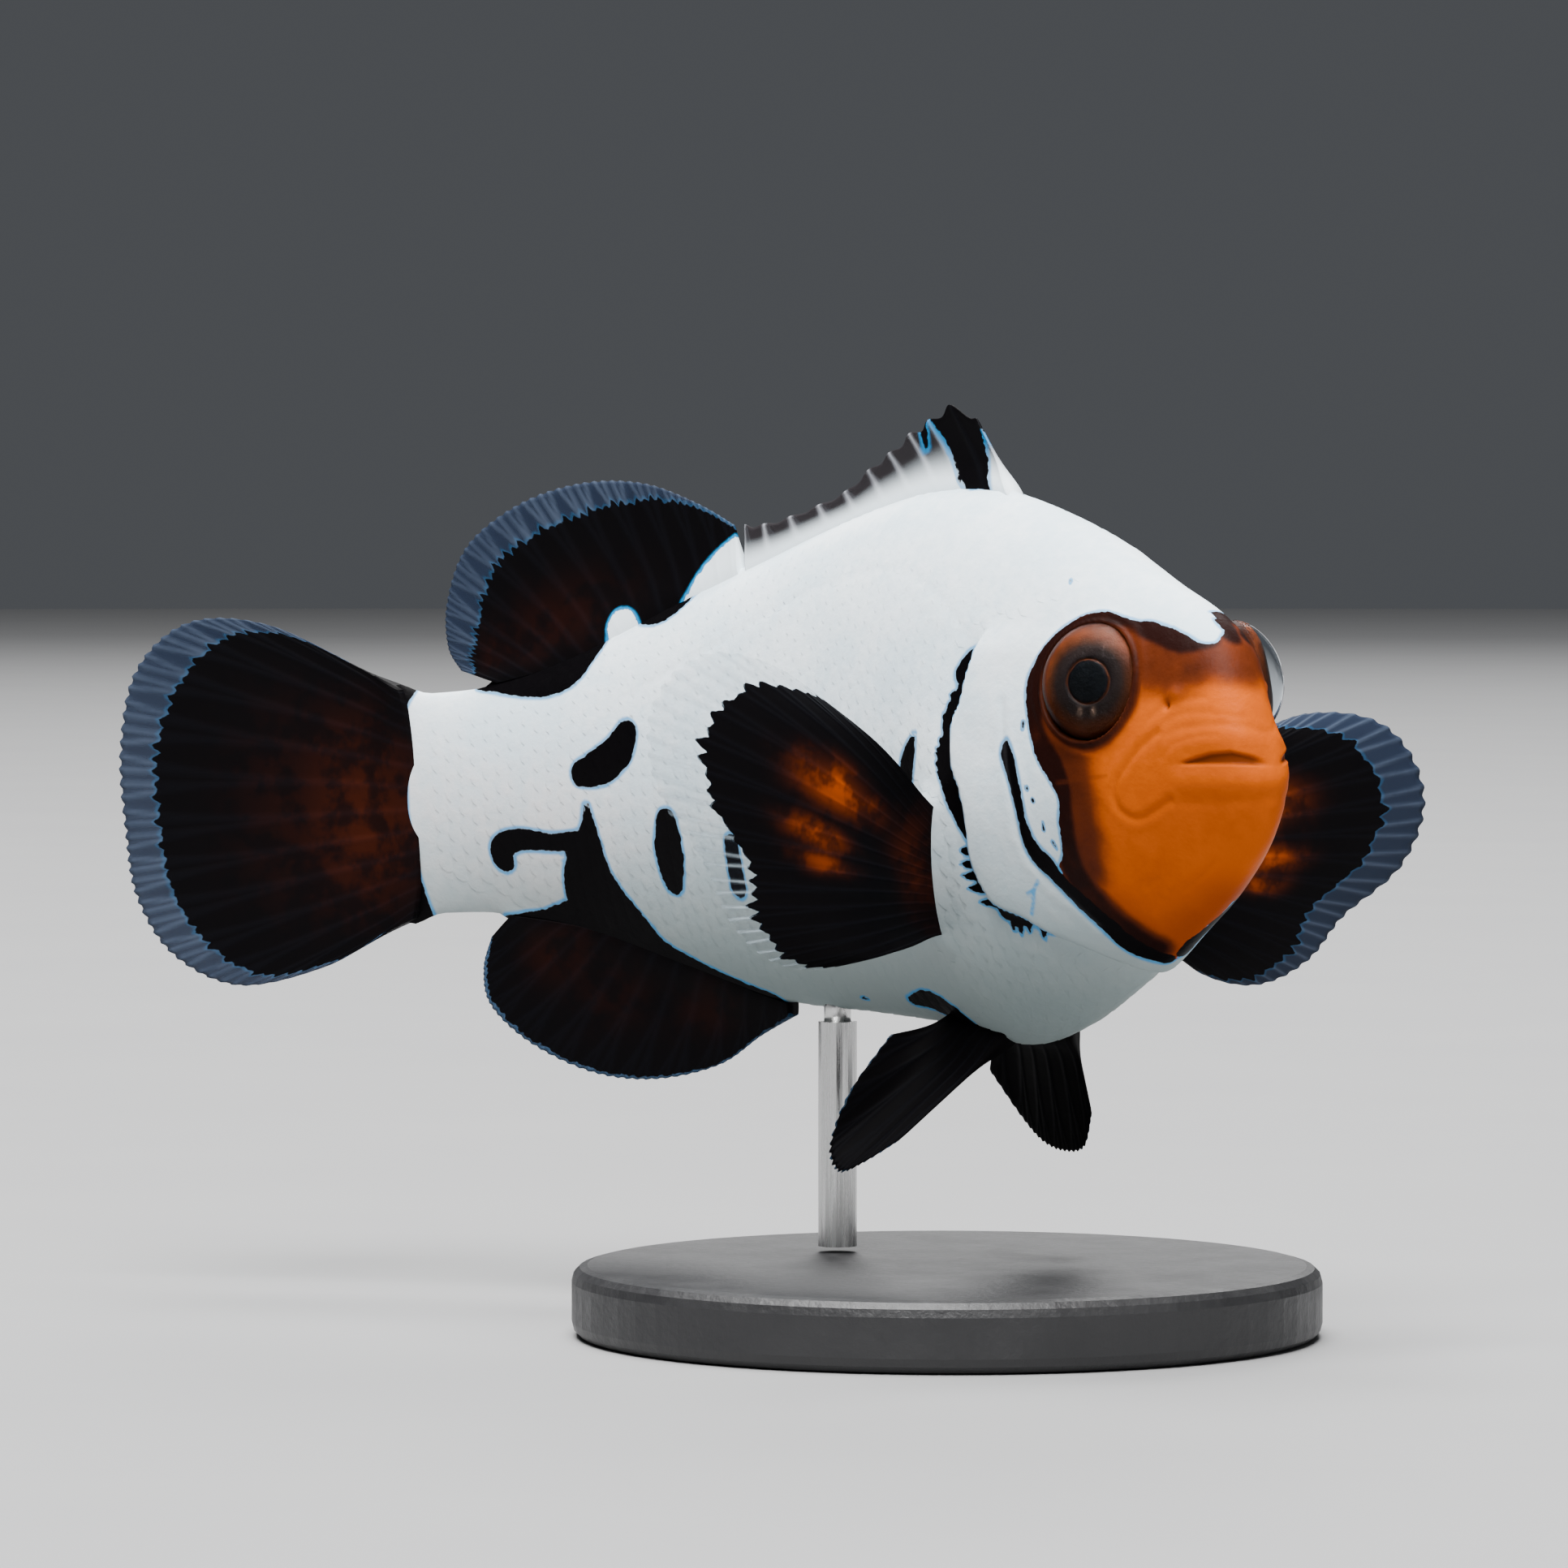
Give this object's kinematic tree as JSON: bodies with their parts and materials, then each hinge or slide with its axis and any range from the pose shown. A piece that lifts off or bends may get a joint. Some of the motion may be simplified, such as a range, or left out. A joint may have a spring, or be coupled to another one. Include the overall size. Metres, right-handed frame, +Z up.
{
  "type": "life-size clownfish model on a display stand",
  "caption": "Life-size still model of a swimming clownfish, white with an orange face and black-marked fins, held over a round base by a slim rod.",
  "frame": {"origin": "centre of the stand base's flat underside", "axes": "+Z up; the fish swims roughly along +X with its right side towards -Y and its head turned towards -Y"},
  "size_m": [0.076, 0.0471, 0.047],
  "materials": {
    "face_skin": "painted cast model, low sheen",
    "body_skin": "painted cast model, low sheen",
    "fin_membrane": "thin painted film with raised rays, slightly clear at the margin",
    "eye": "wet gloss over a speckled iris",
    "stand_base": "matt black powder coat",
    "stand_rod": "brushed along its length"
  },
  "bodies": {
    "root": {"head": "face_skin", "lower_jaw": "face_skin", "trunk": "body_skin", "tail_stalk": "body_skin", "gill_cover_left": "body_skin", "gill_cover_right": "body_skin", "eye_left": "eye", "eye_right": "eye", "fin_dorsal_spiny": "fin_membrane", "fin_dorsal_soft": "fin_membrane", "fin_caudal": "fin_membrane", "fin_anal": "fin_membrane", "fin_pectoral_left": "fin_membrane", "fin_pectoral_right": "fin_membrane", "fin_pelvic_left": "fin_membrane", "fin_pelvic_right": "fin_membrane", "stand_base": "stand_base", "stand_rod": "stand_rod"}
  },
  "joints": []
}
